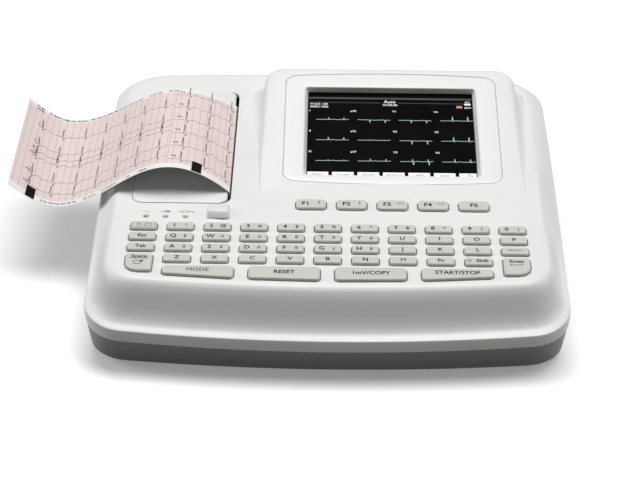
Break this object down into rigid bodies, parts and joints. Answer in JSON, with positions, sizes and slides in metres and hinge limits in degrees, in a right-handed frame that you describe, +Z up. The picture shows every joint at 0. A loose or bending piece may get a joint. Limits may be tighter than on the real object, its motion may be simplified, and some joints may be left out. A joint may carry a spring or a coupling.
{
  "type": "electrocardiograph",
  "caption": "Desktop electrocardiograph with a raised colour screen, rubber keyboard, hinged paper door with printed chart strip, and a dark bottom tray.",
  "frame": {"origin": "on the table, under the middle of the housing's width and depth", "axes": "+X to the machine's right, +Y towards its rear, +Z up; the user sits at -Y"},
  "size_m": [0.3695, 0.29, 0.0958],
  "materials": {
    "housing": "fine satin, warm white",
    "bezel": "satin, white",
    "latch": "satin, light grey",
    "tray": "fine texture, dark grey",
    "screen": "gloss, black",
    "sheet": "zinc plated",
    "steel": "bright",
    "platen": "ground",
    "gear": "moulded, natural",
    "head": "glazed",
    "sink": "extruded",
    "frame": "moulded, dark grey",
    "motor": "plated",
    "pinion": "turned",
    "paper": "coated, pink grid",
    "spindle": "moulded, black",
    "keys": "silicone, light grey",
    "board": "solder mask",
    "power_board": "paper laminate",
    "battery": "shrink sleeve",
    "black": "moulded, black",
    "plated": "nickel plated",
    "shell": "nickel plated",
    "foot": "moulded",
    "lens": "diffuse lens"
  },
  "bodies": {
    "housing": {"top_cover": "housing", "bottom_tray": "tray", "screen_bezel": "bezel", "lcd_panel": "screen", "lcd_bracket": "sheet", "printer_frame": "frame", "stepper_motor": "motor", "key_board": "board", "keypad_mat": "keys", "main_board": "board", "power_supply": "power_board", "battery_pack": "battery", "battery_cover": "tray", "mains_inlet": "black", "mains_switch": "black", "earth_terminal": "plated", "patient_socket": "shell", "data_ports": "shell", "speaker": "black", "feet": "foot", "case_screws": "steel", "status_leds": "lens", "door_hinge_rod": "steel", "latch_spring": "steel", "head_springs": "steel", "paper_web": "paper"},
    "door": {"paper_door": "housing"},
    "platen": {"platen_roller": "platen", "platen_shaft": "steel", "platen_gear": "gear"},
    "paper_strip": {"chart_paper": "paper"},
    "idler": {"idler_gear": "gear"},
    "pinion": {"motor_pinion": "pinion"},
    "roll": {"paper_roll": "paper", "paper_spindle": "spindle"},
    "head": {"print_head": "head", "head_heatsink": "sink"},
    "latch": {"door_latch": "latch"},
    "rocker": {"mains_rocker": "black"},
    "key_power": {"power_key": "keys"},
    "key_esc": {"esc_key": "keys"},
    "key_tab": {"tab_key": "keys"},
    "key_space": {"space_key": "keys"},
    "key_enter": {"enter_key": "keys"},
    "key_backspace": {"backspace_key": "keys"},
    "key_shift": {"shift_key": "keys"},
    "key_fn": {"fn_key": "keys"},
    "key_numbers": {"number_keys": "keys"},
    "key_upper_letters": {"upper_letter_keys": "keys"},
    "key_middle_letters": {"middle_letter_keys": "keys"},
    "key_lower_letters": {"lower_letter_keys": "keys"},
    "key_mode": {"mode_key": "keys"},
    "key_reset": {"reset_key": "keys"},
    "key_copy": {"copy_key": "keys"},
    "key_start_stop": {"start_stop_key": "keys"},
    "key_f1": {"f1_key": "keys"},
    "key_f2": {"f2_key": "keys"},
    "key_f3": {"f3_key": "keys"},
    "key_f4": {"f4_key": "keys"},
    "key_f5": {"f5_key": "keys"}
  },
  "joints": [
    {"name": "door_hinge", "type": "hinge", "parent": "housing", "child": "door", "pos_m": [-0.1235, 0.03249, 0.06793], "axis": [0, -0.9976, -0.0698], "range_deg": [0, 75]},
    {"name": "platen_spin", "type": "hinge", "parent": "door", "child": "platen", "pos_m": [-0.0726, 0.033, 0.06065], "axis": [0, -0.9976, -0.0698], "continuous": true},
    {"name": "paper_tilt", "type": "hinge", "parent": "door", "child": "paper_strip", "pos_m": [-0.0726, 0.033, 0.06065], "axis": [0, -0.9976, -0.0698], "range_deg": [-75, 0], "deforming": ["chart_paper"]},
    {"name": "idler_spin", "type": "hinge", "parent": "housing", "child": "idler", "pos_m": [-0.0726, 0.09825, 0.04491], "axis": [0, -0.9976, -0.0698], "continuous": true},
    {"name": "pinion_spin", "type": "hinge", "parent": "housing", "child": "pinion", "pos_m": [-0.05426, 0.09853, 0.04102], "axis": [0, -0.9976, -0.0698], "continuous": true},
    {"name": "roll_spin", "type": "hinge", "parent": "housing", "child": "roll", "pos_m": [-0.0981, 0.03443, 0.0402], "axis": [0, -0.9976, -0.0698], "continuous": true},
    {"name": "head_press", "type": "slide", "parent": "housing", "child": "head", "axis": [1, 0, 0], "range_m": [0, 0.0005], "stiffness_N_per_m": 2500, "springref_m": -0.0008, "deforming": ["head_springs"]},
    {"name": "latch_slide", "type": "slide", "parent": "housing", "child": "latch", "axis": [0, -0.9976, -0.0698], "range_m": [0, 0.003], "stiffness_N_per_m": 400, "springref_m": -0.0015, "deforming": ["latch_spring"]},
    {"name": "mains_rocker_tilt", "type": "hinge", "parent": "housing", "child": "rocker", "pos_m": [0.083, 0.1307, 0.029], "axis": [1, 0, 0], "range_deg": [0, 16]},
    {"name": "power_press", "type": "slide", "parent": "housing", "child": "key_power", "axis": [0, 0.0698, -0.9976], "range_m": [0, 0.0015], "stiffness_N_per_m": 600, "springref_m": -0.0005},
    {"name": "esc_press", "type": "slide", "parent": "housing", "child": "key_esc", "axis": [0, 0.0698, -0.9976], "range_m": [0, 0.0015], "stiffness_N_per_m": 600, "springref_m": -0.0005},
    {"name": "tab_press", "type": "slide", "parent": "housing", "child": "key_tab", "axis": [0, 0.0698, -0.9976], "range_m": [0, 0.0015], "stiffness_N_per_m": 600, "springref_m": -0.0005},
    {"name": "space_press", "type": "slide", "parent": "housing", "child": "key_space", "axis": [0, 0.0698, -0.9976], "range_m": [0, 0.0015], "stiffness_N_per_m": 600, "springref_m": -0.0005},
    {"name": "enter_press", "type": "slide", "parent": "housing", "child": "key_enter", "axis": [0, 0.0698, -0.9976], "range_m": [0, 0.0015], "stiffness_N_per_m": 600, "springref_m": -0.0005},
    {"name": "backspace_press", "type": "slide", "parent": "housing", "child": "key_backspace", "axis": [0, 0.0698, -0.9976], "range_m": [0, 0.0015], "stiffness_N_per_m": 600, "springref_m": -0.0005},
    {"name": "shift_press", "type": "slide", "parent": "housing", "child": "key_shift", "axis": [0, 0.0698, -0.9976], "range_m": [0, 0.0015], "stiffness_N_per_m": 600, "springref_m": -0.0005},
    {"name": "fn_press", "type": "slide", "parent": "housing", "child": "key_fn", "axis": [0, 0.0698, -0.9976], "range_m": [0, 0.0015], "stiffness_N_per_m": 600, "springref_m": -0.0005},
    {"name": "numbers_press", "type": "slide", "parent": "housing", "child": "key_numbers", "axis": [0, 0.0698, -0.9976], "range_m": [0, 0.0015], "stiffness_N_per_m": 600, "springref_m": -0.0005},
    {"name": "upper_letters_press", "type": "slide", "parent": "housing", "child": "key_upper_letters", "axis": [0, 0.0698, -0.9976], "range_m": [0, 0.0015], "stiffness_N_per_m": 600, "springref_m": -0.0005},
    {"name": "middle_letters_press", "type": "slide", "parent": "housing", "child": "key_middle_letters", "axis": [0, 0.0698, -0.9976], "range_m": [0, 0.0015], "stiffness_N_per_m": 600, "springref_m": -0.0005},
    {"name": "lower_letters_press", "type": "slide", "parent": "housing", "child": "key_lower_letters", "axis": [0, 0.0698, -0.9976], "range_m": [0, 0.0015], "stiffness_N_per_m": 600, "springref_m": -0.0005},
    {"name": "mode_press", "type": "slide", "parent": "housing", "child": "key_mode", "axis": [0, 0.0698, -0.9976], "range_m": [0, 0.0015], "stiffness_N_per_m": 600, "springref_m": -0.0005},
    {"name": "reset_press", "type": "slide", "parent": "housing", "child": "key_reset", "axis": [0, 0.0698, -0.9976], "range_m": [0, 0.0015], "stiffness_N_per_m": 600, "springref_m": -0.0005},
    {"name": "copy_press", "type": "slide", "parent": "housing", "child": "key_copy", "axis": [0, 0.0698, -0.9976], "range_m": [0, 0.0015], "stiffness_N_per_m": 600, "springref_m": -0.0005},
    {"name": "start_stop_press", "type": "slide", "parent": "housing", "child": "key_start_stop", "axis": [0, 0.0698, -0.9976], "range_m": [0, 0.0015], "stiffness_N_per_m": 600, "springref_m": -0.0005},
    {"name": "f1_press", "type": "slide", "parent": "housing", "child": "key_f1", "axis": [0, 0.0698, -0.9976], "range_m": [0, 0.0015], "stiffness_N_per_m": 600, "springref_m": -0.0005},
    {"name": "f2_press", "type": "slide", "parent": "housing", "child": "key_f2", "axis": [0, 0.0698, -0.9976], "range_m": [0, 0.0015], "stiffness_N_per_m": 600, "springref_m": -0.0005},
    {"name": "f3_press", "type": "slide", "parent": "housing", "child": "key_f3", "axis": [0, 0.0698, -0.9976], "range_m": [0, 0.0015], "stiffness_N_per_m": 600, "springref_m": -0.0005},
    {"name": "f4_press", "type": "slide", "parent": "housing", "child": "key_f4", "axis": [0, 0.0698, -0.9976], "range_m": [0, 0.0015], "stiffness_N_per_m": 600, "springref_m": -0.0005},
    {"name": "f5_press", "type": "slide", "parent": "housing", "child": "key_f5", "axis": [0, 0.0698, -0.9976], "range_m": [0, 0.0015], "stiffness_N_per_m": 600, "springref_m": -0.0005}
  ],
  "couplings": [
    {"joint": "paper_tilt", "follows": "door_hinge", "ratio": -1},
    {"joint": "idler_spin", "follows": "platen_spin", "ratio": -0.35},
    {"joint": "pinion_spin", "follows": "platen_spin", "ratio": 1.4},
    {"joint": "roll_spin", "follows": "platen_spin", "ratio": -0.25}
  ]
}
